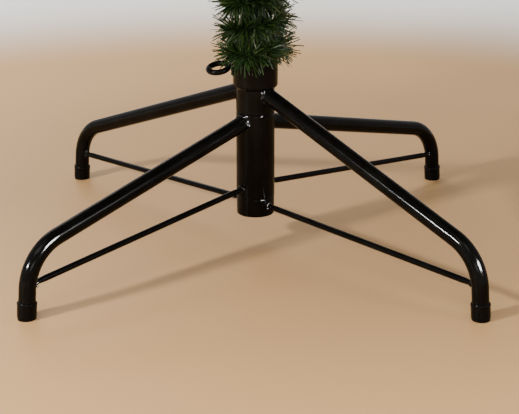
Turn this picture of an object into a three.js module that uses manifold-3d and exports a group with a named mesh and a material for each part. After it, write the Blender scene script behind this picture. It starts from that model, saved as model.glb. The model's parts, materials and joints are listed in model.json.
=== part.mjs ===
// A full-size artificial Christmas tree on its folding steel stand, in millimetres, +Z up.
// The origin is on the floor, straight under the middle of the pole.
import * as THREE from "three";
import { mergeVertices } from "three/addons/utils/BufferGeometryUtils.js";
import Module from "manifold-3d";

const wasm = await Module();
wasm.setup();

const GAP = 0.3; // left between pieces that touch

// Crown: a cone from its widest tips up to the top of the tree
const TREE_HEIGHT = 1800;
const CROWN_RADIUS = 560;
const CROWN_SKIRT = 390; // height at which the cone has that radius

// Stand: an inner tube with one pair of legs, and a sleeve with the other pair. The sleeve
// turns on a narrower stretch of the tube, above the ring that ends it.
const FOOT_RADIUS = 304.5; // pole axis to the middle of a foot, on the floor
const LEG_R = 8.4;
const LEG_BEND_R = 50;
const SHIN_LEAN = THREE.MathUtils.degToRad(5.1);
const TUBE_R = 19.3;
const RING_R = 20.2;
const TUBE_FOOT = 32;
const TUBE_FLOOR = 4; // thickness of the blanked lower end
const SLEEVE_R = 20.5;
const SLEEVE_FOOT = 52;
const SLEEVE_TOP = 144.4;
const CUP_R = 23.7;
const CUP_FOOT = 170.5;
const CUP_CHAMFER = 3.3;
const CUP_TOP = 204;
const HUB_SIDES = 32;
const BRACE_R = 3.2;
const BRACE_FOOT = 33.3; // height at which a brace meets its leg
const UPPER_PAIR = { hub: 164.6, slope: 0.368, brace: 43.4, hubR: RING_R };
const LOWER_PAIR = { hub: 134.7, slope: 0.2535, brace: 62.2, hubR: SLEEVE_R };
const LOWER_BACK_LEG = { ...LOWER_PAIR, hub: 130.5, slope: 0.238 }; // welded on a little lower
const CAP_R = 9.6;
const CAP_LENGTH = 17;
const CAP_FLOOR = 3;

// Lock screw: it ends in an eye, and its nut is welded to the cup, a little out of level
const SCREW_HEIGHT = 196.8; // where its line meets the pole axis
const SCREW_AZIMUTH = Math.PI;
const SCREW_PITCH = THREE.MathUtils.degToRad(8); // down towards the eye
const SCREW_ROLL = THREE.MathUtils.degToRad(-13); // as it was last turned
const SCREW_R = 3.1;
const EYE_R = 10.5;
const NUT_FACE = CUP_R + 1.6;

// Pole: telescoping sections, each narrower than the one below, with a ring of branch
// holders on it for each tier
const POLE_FOOT = TUBE_FOOT + TUBE_FLOOR + GAP;
const POLE_SECTIONS = [
  { r: 16, top: 700 },
  { r: 12.5, top: 1230 },
  { r: 9.5, top: 1560 },
];
const HOLDER_WIDTH = 7; // how far a holder ring stands out of the pole
const HOLDER_HEIGHT = 14;

// Garland wound round the foot of the pole: level at first, on the rim of the cup, then up
const WRAP_FOOT = 210;
const WRAP_TOP = 340;
const WRAP_PITCH = 28;
const WRAP_LEVEL = 0.7; // of a turn
const WRAP_CORE_R = 4.4;
const WRAP_NEEDLE = 28;
const WRAP_NEEDLES = 58;

// Tiers: each lies between its own under surface and the next tier's. An under surface
// starts at the pole at its foot height and climbs outwards by its rise.
const TIERS = [
  { foot: 300, rise: 0.165, masses: 6, turn: 0, boughEnd: 110 },
  { foot: 490, rise: 0.21, masses: 5, turn: 0.2, boughEnd: 0 },
  { foot: 675, rise: 0.26, masses: 5, turn: 0.7, boughEnd: 0 },
  { foot: 850, rise: 0.32, masses: 4, turn: 0.3, boughEnd: 0 },
  { foot: 1015, rise: 0.39, masses: 4, turn: 0.8, boughEnd: 0 },
  { foot: 1170, rise: 0.47, masses: 4, turn: 0.2, boughEnd: 0 },
  { foot: 1315, rise: 0.56, masses: 4, turn: 0.65, boughEnd: 0 },
  { foot: 1450, rise: 0.67, masses: 4, turn: 0.1, boughEnd: 0 },
  { foot: 1575, rise: 0.8 },
];
const FULL_TIERS = 5; // tiers whose masses have all the limbs
const SPACE_MARGIN = 4; // kept by a mass from the sides of its space
const INNER_MARGIN = 12; // and from the pole

// Limbs of a mass: how high in its tier each one ends, and how far round, in mass widths
const FULL_LIMBS = [
  { share: 0.24, turn: -0.32 },
  { share: 0.3, turn: 0.13 },
  { share: 0.74, turn: -0.13 },
  { share: 0.7, turn: 0.32 },
];
const SHORT_LIMBS = [
  { share: 0.24, turn: -0.3 },
  { share: 0.34, turn: 0.3 },
  { share: 0.78, turn: 0 },
];
const FORK_AT = 0.14; // where a stem forks into limbs, as a share of the way to the tips
const STEM_R = 4.2;
const LIMB_R = 3;
const BOUGH_R = 5.5;

// Outlines of a limb's spray and of a leader's side spray: forward teeth with notches
// between them, as shares of the length and of the half width, and the points of the
// thick middle line
const LIMB_SPRAY = {
  teeth: [[0.38, 1], [0.64, 0.98], [0.85, 0.62]],
  notches: [[0.02, 0.14], [0.27, 0.2], [0.51, 0.2], [0.75, 0.14]],
  ridge: [0.12, 0.33, 0.56],
  spread: 0.26,
};
const LEADER_SPRAY = {
  teeth: [[0.42, 1], [0.76, 0.8]],
  notches: [[0.02, 0.15], [0.36, 0.28], [0.68, 0.2]],
  ridge: [0.2, 0.48],
  spread: 0.25,
};
const SPRAY_THICKNESS = 0.02; // of a spray's length
const SPRAY_ROLL = 1.4; // widest difference in roll, in radians
const SPRAY_ROOT = 0.28; // of the limb
const ROOT_IN_SPRAY = 0.05; // how far a limb's rod runs on into its spray

// Leader: the tree's upright tip, with sprays round it
const LEADER_SPRAYS = 7;
const LEADER_LENGTHS = [135, 70]; // of the lowest and the highest spray

const TAU = 2 * Math.PI;
const UP = new THREE.Vector3(0, 0, 1);

const paint = new THREE.MeshStandardMaterial({ color: 0x0b0b0c, roughness: 0.25, metalness: 0.1 });
const capPlastic = new THREE.MeshStandardMaterial({ color: 0x101011, roughness: 0.6, metalness: 0 });
const poleGreen = new THREE.MeshStandardMaterial({ color: 0x1d2a1c, roughness: 0.5, metalness: 0.1 });
const wireGreen = new THREE.MeshStandardMaterial({ color: 0x2b3a22, roughness: 0.6, metalness: 0 });
const needleGreen = new THREE.MeshStandardMaterial({ color: 0x1f4a26, roughness: 0.45, metalness: 0 });

const tree = new THREE.Group();

// A closed geometry as a solid that can be joined and cut
function solid(geometry, matrix = new THREE.Matrix4()) {
  const bare = new THREE.BufferGeometry();
  bare.setAttribute("position", geometry.getAttribute("position").clone());
  if (geometry.index) bare.setIndex(geometry.index.clone());
  bare.applyMatrix4(matrix);
  const merged = mergeVertices(bare, 1e-4);
  return new wasm.Manifold(
    new wasm.Mesh({
      numProp: 3,
      vertProperties: new Float32Array(merged.attributes.position.array),
      triVerts: new Uint32Array(merged.index.array),
    }),
  );
}

function joined(solids) {
  return solids.reduce((whole, piece) => whole.add(piece));
}

function moved(shape, matrix) {
  return shape.transform(matrix.elements);
}

function addNode(name, shape, material) {
  const data = shape.getMesh();
  const geometry = new THREE.BufferGeometry();
  geometry.setAttribute("position", new THREE.BufferAttribute(data.vertProperties, 3));
  geometry.setIndex(new THREE.BufferAttribute(data.triVerts, 1));
  geometry.computeVertexNormals();
  const mesh = new THREE.Mesh(geometry, material);
  mesh.name = name;
  tree.add(mesh);
}

// A solid of revolution about +Z, from [radius, height] pairs that start and end on the
// axis or come back to where they start
function turned(profile, segments) {
  const points = profile.map(([r, z]) => new THREE.Vector2(r, z));
  const upright = new THREE.Matrix4().makeRotationX(Math.PI / 2);
  return solid(new THREE.LatheGeometry(points, segments), upright);
}

function cylinder(radius, foot, top, segments) {
  return turned([[0, foot], [radius, foot], [radius, top], [0, top]], segments);
}

// A tube with a many-sided section along a curve
function tube(path, radius, sides, steps = 1) {
  const section = new THREE.Shape(
    Array.from({ length: sides }, (_, i) => {
      const angle = (TAU * i) / sides;
      return new THREE.Vector2(radius * Math.cos(angle), radius * Math.sin(angle));
    }),
  );
  return solid(
    new THREE.ExtrudeGeometry(section, { extrudePath: path, steps, bevelEnabled: false }),
  );
}

// A straight rod between two points. With an end radius of 0 it tapers to a point.
function rod(start, end, startR, endR, sides) {
  const along = end.clone().sub(start).normalize();
  const aside = Math.abs(along.z) < 0.9 ? UP : new THREE.Vector3(1, 0, 0);
  const side = new THREE.Vector3().crossVectors(aside, along).normalize();
  const other = new THREE.Vector3().crossVectors(along, side);
  const ring = (middle, radius) =>
    Array.from({ length: sides }, (_, i) => {
      const angle = (TAU * i) / sides;
      return middle
        .clone()
        .addScaledVector(side, radius * Math.cos(angle))
        .addScaledVector(other, radius * Math.sin(angle));
    });
  const pointed = endR === 0;
  const points = [...ring(start, startR), ...(pointed ? [end] : ring(end, endR))];
  const index = [];
  for (let i = 0; i < sides; i += 1) {
    const j = (i + 1) % sides;
    index.push(i, j, pointed ? sides : sides + j);
    if (!pointed) index.push(i, sides + j, sides + i);
  }
  for (let i = 2; i < sides; i += 1) {
    index.push(0, i, i - 1);
    if (!pointed) index.push(sides, sides + i - 1, sides + i);
  }
  return solid(new THREE.BufferGeometry().setFromPoints(points).setIndex(index));
}

// The point at a distance from the pole axis, at an azimuth and a height
function polar(radius, azimuth, height) {
  return new THREE.Vector3(radius * Math.cos(azimuth), radius * Math.sin(azimuth), height);
}

function flatDistance(point) {
  return Math.hypot(point.x, point.y);
}

// A repeatable stream of numbers from 0 to 1
function seededStream(seed) {
  let state = (seed * 7919 + 12345) % 2147483647;
  return () => {
    state = (state * 48271) % 2147483647;
    return state / 2147483647;
  };
}

// From the +X axis to the line of the lock screw
function screwPlace() {
  return new THREE.Matrix4()
    .makeTranslation(0, 0, SCREW_HEIGHT)
    .multiply(new THREE.Matrix4().makeRotationZ(SCREW_AZIMUTH))
    .multiply(new THREE.Matrix4().makeRotationY(SCREW_PITCH))
    .multiply(new THREE.Matrix4().makeRotationX(SCREW_ROLL));
}

// The inner tube of the stand, with the ring under the sleeve. Above the sleeve it swells to
// carry the upper legs, and ends in the cup that the pole stands in.
function standTube() {
  const bore = POLE_SECTIONS[0].r + GAP;
  const body = turned(
    [
      [0, TUBE_FOOT],
      [RING_R, TUBE_FOOT],
      [RING_R, SLEEVE_FOOT - GAP],
      [TUBE_R, SLEEVE_FOOT - GAP],
      [TUBE_R, SLEEVE_TOP + GAP],
      [SLEEVE_R, SLEEVE_TOP + GAP],
      [SLEEVE_R, CUP_FOOT],
      [CUP_R, CUP_FOOT + CUP_CHAMFER],
      [CUP_R, CUP_TOP],
      [bore, CUP_TOP],
      [bore, TUBE_FOOT + TUBE_FLOOR],
      [0, TUBE_FOOT + TUBE_FLOOR],
    ],
    HUB_SIDES,
  );
  const weldR = 11.5;
  const nutR = 8;
  const inWall = 4;
  const nut = rod(
    new THREE.Vector3(CUP_R - inWall, 0, 0),
    new THREE.Vector3(NUT_FACE, 0, 0),
    weldR,
    nutR,
    6,
  );
  return body.add(moved(nut, screwPlace()));
}

function standSleeve() {
  const bore = TUBE_R + GAP;
  return turned(
    [
      [bore, SLEEVE_FOOT],
      [SLEEVE_R, SLEEVE_FOOT],
      [SLEEVE_R, SLEEVE_TOP],
      [bore, SLEEVE_TOP],
      [bore, SLEEVE_FOOT],
    ],
    HUB_SIDES,
  );
}

// A leg in the plane of +X and +Z: it slopes down from the hub, bends, and leans a little
// outwards on its way down to the floor
function legShape(pair, radius) {
  const sides = 12;
  const overlap = 0.6; // of the stretches at the ends of the bend
  const fall = Math.atan(pair.slope);
  const turn = Math.PI / 2 - fall - SHIN_LEAN;
  const tangent = LEG_BEND_R * Math.tan(turn / 2);
  const down = new THREE.Vector3(Math.cos(fall), 0, -Math.sin(fall));
  const shin = new THREE.Vector3(Math.sin(SHIN_LEAN), 0, -Math.cos(SHIN_LEAN));
  const lean = Math.tan(SHIN_LEAN);
  const cornerZ = (pair.hub - pair.slope * (FOOT_RADIUS - SLEEVE_R)) / (1 - pair.slope * lean);
  const corner = new THREE.Vector3(FOOT_RADIUS - lean * cornerZ, 0, cornerZ);
  const bendStart = corner.clone().addScaledVector(down, -tangent);
  const bendEnd = corner.clone().addScaledVector(shin, tangent);
  const inwards = new THREE.Vector3(-Math.sin(fall), 0, -Math.cos(fall));
  const bendMiddle = bendStart.clone().addScaledVector(inwards, LEG_BEND_R);
  class Bend extends THREE.Curve {
    getPoint(t, target = new THREE.Vector3()) {
      const angle = SHIN_LEAN + turn * (1 - t);
      return target.set(
        bendMiddle.x + LEG_BEND_R * Math.cos(angle),
        0,
        bendMiddle.z + LEG_BEND_R * Math.sin(angle),
      );
    }
  }
  const insideHub = 12;
  const hubEnd = new THREE.Vector3(SLEEVE_R - insideHub, 0, pair.hub + insideHub * pair.slope);
  const foot = new THREE.Vector3(FOOT_RADIUS, 0, 0);
  return joined([
    tube(new THREE.LineCurve3(hubEnd, bendStart.addScaledVector(down, overlap)), radius, sides),
    tube(new Bend(), radius, sides, 6),
    tube(
      new THREE.LineCurve3(
        bendEnd.addScaledVector(shin, -overlap),
        foot.addScaledVector(shin, -CAP_FLOOR - GAP),
      ),
      radius,
      sides,
    ),
  ]);
}

// What the legs keep clear of: the stand's tubes and, above them, the cup
function hubClearance() {
  return turned(
    [
      [0, 0],
      [SLEEVE_R + GAP, 0],
      [SLEEVE_R + GAP, CUP_FOOT - GAP],
      [CUP_R + GAP, CUP_FOOT + CUP_CHAMFER - GAP],
      [CUP_R + GAP, CUP_TOP],
      [0, CUP_TOP],
    ],
    HUB_SIDES,
  );
}

function braceShape(pair) {
  const insideHub = 6;
  const start = new THREE.Vector3(pair.hubR - insideHub, 0, pair.brace);
  const legMiddle = FOOT_RADIUS - Math.tan(SHIN_LEAN) * BRACE_FOOT;
  const end = new THREE.Vector3(legMiddle, 0, BRACE_FOOT);
  return rod(start, end, BRACE_R, BRACE_R, 8)
    .subtract(cylinder(pair.hubR + GAP, 0, SLEEVE_TOP, HUB_SIDES))
    .subtract(legShape(pair, LEG_R + GAP));
}

// A cap round the end of a leg, cut level where it stands on the floor
function footCap() {
  const bore = LEG_R + GAP;
  const cap = turned(
    [
      [0, -CAP_FLOOR],
      [CAP_R, -CAP_FLOOR],
      [CAP_R, CAP_LENGTH - 1.5],
      [CAP_R - 0.6, CAP_LENGTH],
      [bore, CAP_LENGTH],
      [bore, CAP_FLOOR],
      [0, CAP_FLOOR],
    ],
    18,
  );
  const leaning = moved(cap, new THREE.Matrix4().makeRotationY(-SHIN_LEAN));
  return leaning.subtract(cylinder(2 * CAP_R, -2 * CAP_FLOOR, 0, 8));
}

// The lock screw along +X: its shank starts at the nut's face and ends in an eye
function lockScrew() {
  const shankStart = NUT_FACE + GAP;
  const shankLength = 2.8;
  const eye = solid(
    new THREE.TorusGeometry(EYE_R, SCREW_R, 8, 20),
    new THREE.Matrix4().makeTranslation(shankStart + shankLength + EYE_R, 0, 0),
  );
  const shank = rod(
    new THREE.Vector3(shankStart, 0, 0),
    new THREE.Vector3(shankStart + shankLength + 1, 0, 0),
    SCREW_R,
    SCREW_R,
    8,
  );
  return eye.add(shank);
}

function addStand() {
  addNode("stand_tube", standTube(), paint);
  addNode("stand_sleeve", standSleeve(), paint);
  addNode("lock_screw", moved(lockScrew(), screwPlace()), paint);
  const corners = [
    { corner: "front_right", pair: UPPER_PAIR, eighth: -1 },
    { corner: "back_right", pair: LOWER_BACK_LEG, eighth: 1 },
    { corner: "back_left", pair: UPPER_PAIR, eighth: 3 },
    { corner: "front_left", pair: LOWER_PAIR, eighth: 5 },
  ];
  const hub = hubClearance();
  for (const { corner, pair, eighth } of corners) {
    const turn = new THREE.Matrix4().makeRotationZ((eighth * TAU) / 8);
    const atFoot = turn.clone().multiply(new THREE.Matrix4().makeTranslation(FOOT_RADIUS, 0, 0));
    addNode(`leg_${corner}`, moved(legShape(pair, LEG_R).subtract(hub), turn), paint);
    addNode(`brace_${corner}`, moved(braceShape(pair), turn), paint);
    addNode(`foot_cap_${corner}`, moved(footCap(), atFoot), capPlastic);
  }
}

// The height of the holder ring of a tier, in the middle of the tier
function holderHeight(tier) {
  return (TIERS[tier].foot + TIERS[tier + 1].foot) / 2;
}

function poleRadius(height) {
  return POLE_SECTIONS.find((section) => height < section.top).r;
}

function poleShape() {
  const heights = TIERS.slice(0, -1).map((_, tier) => holderHeight(tier));
  const profile = [[0, POLE_FOOT]];
  let foot = POLE_FOOT;
  for (const { r, top } of POLE_SECTIONS) {
    profile.push([r, foot]);
    for (const height of heights.filter((h) => h > foot && h < top)) {
      const low = height - HOLDER_HEIGHT / 2;
      const high = height + HOLDER_HEIGHT / 2;
      profile.push([r, low], [r + HOLDER_WIDTH, low], [r + HOLDER_WIDTH, high], [r, high]);
    }
    profile.push([r, top]);
    foot = top;
  }
  profile.push([0, foot]);
  return turned(profile, 12);
}

// Whether a needle keeps off the cup and the lock screw
function clearOfCup(root, tip) {
  const steps = 8;
  const room = 3; // a little more than a needle's own radius
  const screwSideCosine = 0.8; // of half the angle that is left to the screw
  for (let i = 0; i <= steps; i += 1) {
    const point = root.clone().lerp(tip, i / steps);
    const turn = Math.atan2(point.y, point.x) - SCREW_AZIMUTH;
    const low = point.z < CUP_TOP + room;
    const overCup = flatDistance(point) < CUP_R + room;
    if (low && (overCup || Math.cos(turn) > screwSideCosine)) return false;
  }
  return true;
}

// The garland: a core wound round the pole, with needles that stand out of it
function poleWrap() {
  const slack = 1.3; // as the straight steps of the winding cut their corners
  const stepsInTurn = 10;
  const helixR = POLE_SECTIONS[0].r + GAP + WRAP_CORE_R + slack;
  const turns = WRAP_LEVEL + (WRAP_TOP - WRAP_FOOT) / WRAP_PITCH;
  class Winding extends THREE.Curve {
    getPoint(t, target = new THREE.Vector3()) {
      const climb = WRAP_PITCH * Math.max(0, turns * t - WRAP_LEVEL);
      return target.copy(polar(helixR, TAU * turns * t, WRAP_FOOT + climb));
    }
  }
  const line = new Winding();
  const pieces = [tube(line, WRAP_CORE_R, 4, Math.round(turns * stepsInTurn))];
  const random = seededStream(11);
  const needleR = 2.4;
  for (let i = 0; i < WRAP_NEEDLES; i += 1) {
    const root = line.getPoint((i + 0.5) / WRAP_NEEDLES);
    const azimuth = Math.atan2(root.y, root.x) + (random() - 0.5) * 0.8;
    const lean = (random() - 0.5) * 2.5;
    const length = WRAP_NEEDLE * (0.8 + 0.4 * random());
    const tip = root.clone().add(polar(length * Math.cos(lean), azimuth, length * Math.sin(lean)));
    if (clearOfCup(root, tip)) pieces.push(rod(root, tip, needleR, 0, 3));
  }
  return joined(pieces);
}

// Height of a tier's under surface at a distance from the pole axis
function underSurface(tier, radius) {
  return TIERS[tier].foot + radius * TIERS[tier].rise;
}

// Where a limb of a tier meets the crown's cone
function limbTip(tier, azimuth, share) {
  const foot = THREE.MathUtils.lerp(TIERS[tier].foot, TIERS[tier + 1].foot, share);
  const rise = THREE.MathUtils.lerp(TIERS[tier].rise, TIERS[tier + 1].rise, share);
  const flare = CROWN_RADIUS / (TREE_HEIGHT - CROWN_SKIRT);
  const radius = (flare * (TREE_HEIGHT - foot)) / (1 + flare * rise);
  return polar(radius, azimuth, foot + rise * radius);
}

// Whether a point is in a mass's own space, a slice of its tier
function inSpace(point, { tier, azimuth, nearest }) {
  const radius = flatDistance(point);
  const half = Math.PI / TIERS[tier].masses;
  const turn = Math.atan2(point.y, point.x) - azimuth;
  const off = Math.abs(Math.atan2(Math.sin(turn), Math.cos(turn)));
  return (
    radius > nearest &&
    off < half &&
    radius * Math.sin(half - off) > SPACE_MARGIN &&
    point.z > underSurface(tier, radius) + SPACE_MARGIN &&
    point.z < underSurface(tier + 1, radius) - SPACE_MARGIN
  );
}

// A spray's points: its outline from the root along the left, the tip and back along the
// right, then its middle line above and below
function sprayPoints({ root, along, flat, length, width, outline }) {
  const side = new THREE.Vector3().crossVectors(flat, along).normalize();
  const level = new THREE.Vector3().crossVectors(along, side);
  const at = (x, y, z) =>
    root
      .clone()
      .addScaledVector(along, x * length)
      .addScaledVector(side, (y * width) / 2)
      .addScaledVector(level, z);
  const left = [];
  outline.notches.forEach((notch, i) => {
    left.push(notch);
    if (outline.teeth[i]) left.push(outline.teeth[i]);
  });
  const rise = (length * SPRAY_THICKNESS) / 2;
  return {
    edge: [
      ...left.map(([x, y]) => at(x, y, 0)),
      at(1, 0, 0),
      ...left.map(([x, y]) => at(x, -y, 0)).reverse(),
    ],
    top: outline.ridge.map((x) => at(x, 0, rise)),
    bottom: outline.ridge.map((x) => at(x, 0, -rise)),
  };
}

// A toothed blade, thickest along its middle line and thin at its edge
function sprayShape(spray) {
  const { edge, top, bottom } = sprayPoints(spray);
  const ridgeCount = top.length;
  const edgeCount = edge.length;
  const middle = (edgeCount - 1) / 2; // the tip's place in the edge
  const index = [];
  for (const first of [edgeCount, edgeCount + ridgeCount]) {
    const upper = first === edgeCount;
    const face = (a, b, c) => (upper ? index.push(a, c, b) : index.push(a, b, c));
    face(edgeCount - 1, 0, first);
    for (const side of [0, 1]) {
      const place = (i) => (side ? edgeCount - 1 - i : i);
      const sided = (a, b, c) => (side ? face(b, a, c) : face(a, b, c));
      for (let i = 0; i < middle; i += 1) {
        const ridge = first + Math.min(Math.floor(i / 2), ridgeCount - 1);
        sided(place(i), place(i + 1), ridge);
        const atNotch = i % 2 === 1 && Math.floor(i / 2) < ridgeCount - 1;
        if (atNotch) sided(place(i + 1), ridge + 1, ridge);
      }
    }
  }
  return solid(new THREE.BufferGeometry().setFromPoints([...edge, ...top, ...bottom]).setIndex(index));
}

// The widest spray of this length that stays in its space, or none
function fittedSpray(spray, space) {
  const least = 0.4 * spray.outline.spread;
  for (let spread = spray.outline.spread; spread > least; spread *= 0.88) {
    const fitted = { ...spray, width: 2 * spread * spray.length };
    const { edge, top, bottom } = sprayPoints(fitted);
    if ([...edge.slice(1, -1), ...top, ...bottom].every((point) => inSpace(point, space))) {
      return fitted;
    }
  }
  return null;
}

// The direction square to a limb that points most nearly up, rolled about the limb
function rolledUp(along, roll) {
  const side = new THREE.Vector3().crossVectors(UP, along).normalize();
  return new THREE.Vector3().crossVectors(along, side).applyAxisAngle(along, roll);
}

function massAzimuth(tier, index) {
  return (TAU * (index + TIERS[tier].turn)) / TIERS[tier].masses;
}

function middleRise(tier) {
  return (TIERS[tier].rise + TIERS[tier + 1].rise) / 2;
}

// The point on a tier's middle line at a distance from the pole axis
function onMiddleLine(tier, azimuth, radius) {
  return polar(radius, azimuth, holderHeight(tier) + middleRise(tier) * radius);
}

function holderRim(tier) {
  return poleRadius(holderHeight(tier)) + HOLDER_WIDTH + GAP;
}

// Where a rod on the middle line starts, so that its slanting end face clears the holder
function rodStart(tier, rodR) {
  return holderRim(tier) + rodR * middleRise(tier);
}

function boughShape(tier, index) {
  const azimuth = massAzimuth(tier, index);
  const start = onMiddleLine(tier, azimuth, rodStart(tier, BOUGH_R));
  const end = onMiddleLine(tier, azimuth, TIERS[tier].boughEnd);
  return rod(start, end, BOUGH_R, BOUGH_R - 1, 8);
}

// One mass of foliage: limbs that leave one stem, each with its spray of needles
function massShape(tier, index) {
  const random = seededStream(100 * (tier + 1) + index);
  const azimuth = massAzimuth(tier, index);
  const width = TAU / TIERS[tier].masses;
  const { boughEnd } = TIERS[tier];
  const stemR = boughEnd ? boughEnd + GAP : rodStart(tier, STEM_R);
  const space = { tier, azimuth, nearest: holderRim(tier) + INNER_MARGIN };
  const stemStart = onMiddleLine(tier, azimuth, stemR);
  const middleTip = limbTip(tier, azimuth, 0.5);
  const fork = stemStart.clone().lerp(middleTip, FORK_AT);
  const pieces = [rod(stemStart, fork, STEM_R, STEM_R - 0.5, 3)];
  for (const { share, turn } of tier < FULL_TIERS ? FULL_LIMBS : SHORT_LIMBS) {
    const reached = limbTip(
      tier,
      azimuth + (turn + (random() - 0.5) * 0.05) * width,
      share + (random() - 0.5) * 0.06,
    );
    const tip = fork.clone().lerp(reached, 1 - 0.05 * random());
    const along = tip.clone().sub(fork).normalize();
    const spray = fittedSpray(
      {
        root: fork.clone().lerp(tip, SPRAY_ROOT),
        along,
        flat: rolledUp(along, (random() - 0.5) * SPRAY_ROLL),
        length: (1 - SPRAY_ROOT) * fork.distanceTo(tip),
        outline: LIMB_SPRAY,
      },
      space,
    );
    if (!spray) continue;
    const limbStart = stemStart.clone().lerp(fork, 0.5 + share / 2);
    const limbEnd = fork.clone().lerp(tip, SPRAY_ROOT + ROOT_IN_SPRAY);
    pieces.push(rod(limbStart, limbEnd, LIMB_R, LIMB_R / 2, 3), sprayShape(spray));
  }
  return joined(pieces);
}

// The leader stands on the pole's top, and its sprays climb round it in a spiral
function leaderShape() {
  const random = seededStream(7);
  const foot = new THREE.Vector3(0, 0, POLE_SECTIONS.at(-1).top + GAP);
  const top = new THREE.Vector3(0, 0, TREE_HEIGHT);
  const upright = {
    root: foot.clone().lerp(top, 0.25),
    along: UP,
    flat: polar(1, 0, 0),
    length: 0.75 * foot.distanceTo(top),
    width: 70,
    outline: LIMB_SPRAY,
  };
  const pieces = [rod(foot, foot.clone().lerp(top, 0.5), 5, 2, 3), sprayShape(upright)];
  for (let i = 0; i < LEADER_SPRAYS; i += 1) {
    const share = i / (LEADER_SPRAYS - 1);
    const azimuth = i * 2.4 + random() * 0.5;
    const climb = THREE.MathUtils.lerp(0.72, 1.05, share);
    const along = polar(Math.cos(climb), azimuth, Math.sin(climb));
    const length = THREE.MathUtils.lerp(...LEADER_LENGTHS, share);
    pieces.push(
      sprayShape({
        root: foot.clone().lerp(top, 0.04 + 0.4 * share),
        along,
        flat: rolledUp(along, (random() - 0.5) * SPRAY_ROLL),
        length,
        width: 2 * LEADER_SPRAY.spread * length,
        outline: LEADER_SPRAY,
      }),
    );
  }
  return joined(pieces);
}

function addCrown() {
  TIERS.slice(0, -1).forEach(({ masses, boughEnd }, tier) => {
    for (let index = 0; index < masses; index += 1) {
      const place = `${tier + 1}_${index + 1}`;
      if (boughEnd) addNode(`bough_${place}`, boughShape(tier, index), wireGreen);
      addNode(`foliage_${place}`, massShape(tier, index), needleGreen);
    }
  });
  addNode("foliage_leader", leaderShape(), needleGreen);
}

addStand();
addNode("pole", poleShape(), poleGreen);
addNode("pole_garland", poleWrap(), needleGreen);
addCrown();

export default tree;
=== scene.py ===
# %% [markdown]
# An artificial Christmas tree on a folding steel stand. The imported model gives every
# part its place and size, and this notebook dresses it: painted tube with weld beads for
# the stand, and wires with cut plastic needles for the garland and the crown. Everything
# is in metres, with +Z up and the origin on the floor under the pole.

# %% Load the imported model
import json
import math

import bpy
import numpy as np
from mathutils import Matrix, Vector

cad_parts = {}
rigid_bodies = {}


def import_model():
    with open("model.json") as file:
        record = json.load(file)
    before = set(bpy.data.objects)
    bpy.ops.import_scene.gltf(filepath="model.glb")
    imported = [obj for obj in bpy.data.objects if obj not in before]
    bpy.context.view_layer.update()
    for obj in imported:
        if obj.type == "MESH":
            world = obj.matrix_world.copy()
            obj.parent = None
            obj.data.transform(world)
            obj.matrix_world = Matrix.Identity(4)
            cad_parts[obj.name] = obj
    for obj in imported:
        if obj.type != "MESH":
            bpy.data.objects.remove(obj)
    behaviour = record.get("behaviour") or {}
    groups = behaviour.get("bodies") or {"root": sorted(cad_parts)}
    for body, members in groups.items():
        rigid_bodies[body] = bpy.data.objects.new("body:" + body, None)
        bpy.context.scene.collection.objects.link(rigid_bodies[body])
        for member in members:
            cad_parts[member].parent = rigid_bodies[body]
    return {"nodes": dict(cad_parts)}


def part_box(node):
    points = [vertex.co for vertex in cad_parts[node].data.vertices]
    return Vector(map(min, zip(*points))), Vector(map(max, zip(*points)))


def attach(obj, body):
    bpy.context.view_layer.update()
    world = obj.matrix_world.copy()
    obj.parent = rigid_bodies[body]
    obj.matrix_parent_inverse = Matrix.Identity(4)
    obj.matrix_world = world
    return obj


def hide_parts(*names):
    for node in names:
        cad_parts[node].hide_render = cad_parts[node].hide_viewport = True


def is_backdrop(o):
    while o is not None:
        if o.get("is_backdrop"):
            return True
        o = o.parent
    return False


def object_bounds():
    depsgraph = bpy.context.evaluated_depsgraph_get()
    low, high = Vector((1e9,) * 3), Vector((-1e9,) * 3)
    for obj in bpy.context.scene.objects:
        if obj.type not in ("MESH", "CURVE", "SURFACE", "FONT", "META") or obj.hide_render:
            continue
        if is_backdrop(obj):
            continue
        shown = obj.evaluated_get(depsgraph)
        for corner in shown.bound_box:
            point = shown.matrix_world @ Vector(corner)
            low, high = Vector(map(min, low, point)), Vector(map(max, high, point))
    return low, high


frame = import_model()
cad_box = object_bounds()
MM = 0.001
TAU = 2 * math.pi
UP = Vector((0, 0, 1))
print("nodes", len(frame["nodes"]), "box", [round(v, 3) for corner in cad_box for v in corner])

# %% [markdown]
# The camera comes first, since it decides how fine each piece has to be. A stand like
# this is looked at from a little above and some way off, so a long lens is used: it keeps
# the four legs in proportion. The tree's foot fills the picture and the crown is above it.

# %% Camera
CAMERA_PLACE = (0.0127, -1.4709, 0.5503)
CAMERA_PITCH = 0.3355  # down from level
CAMERA_YAW = 0.0057
bpy.ops.object.select_all(action="DESELECT")
bpy.ops.object.camera_add(
    location=CAMERA_PLACE, rotation=(TAU / 4 - CAMERA_PITCH, 0, CAMERA_YAW)
)
camera = bpy.context.object
camera.data.lens = 100
camera.data.sensor_width = 36
bpy.context.scene.camera = camera

# %% [markdown]
# Materials are built from nodes, and node links soon become unreadable. A small class
# that wraps a socket lets the maths be written as ordinary Python: each operator adds one
# Math node. Colours are mixed with a Mix node, because a Math node would turn them grey.

# %% Shader maths
class Socket:
    """An output in a material's node tree, with Python's operators."""

    def __init__(self, finish, output):
        self.finish = finish
        self.output = output

    def _math(self, operation, first, second):
        return self.finish.node(
            "ShaderNodeMath", {"operation": operation}, {0: first, 1: second}
        )

    def __add__(self, other):
        return self._math("ADD", self, other)

    __radd__ = __add__

    def __mul__(self, other):
        return self._math("MULTIPLY", self, other)

    __rmul__ = __mul__

    def __sub__(self, other):
        return self._math("SUBTRACT", self, other)

    def __rsub__(self, other):
        return self._math("SUBTRACT", other, self)


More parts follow.
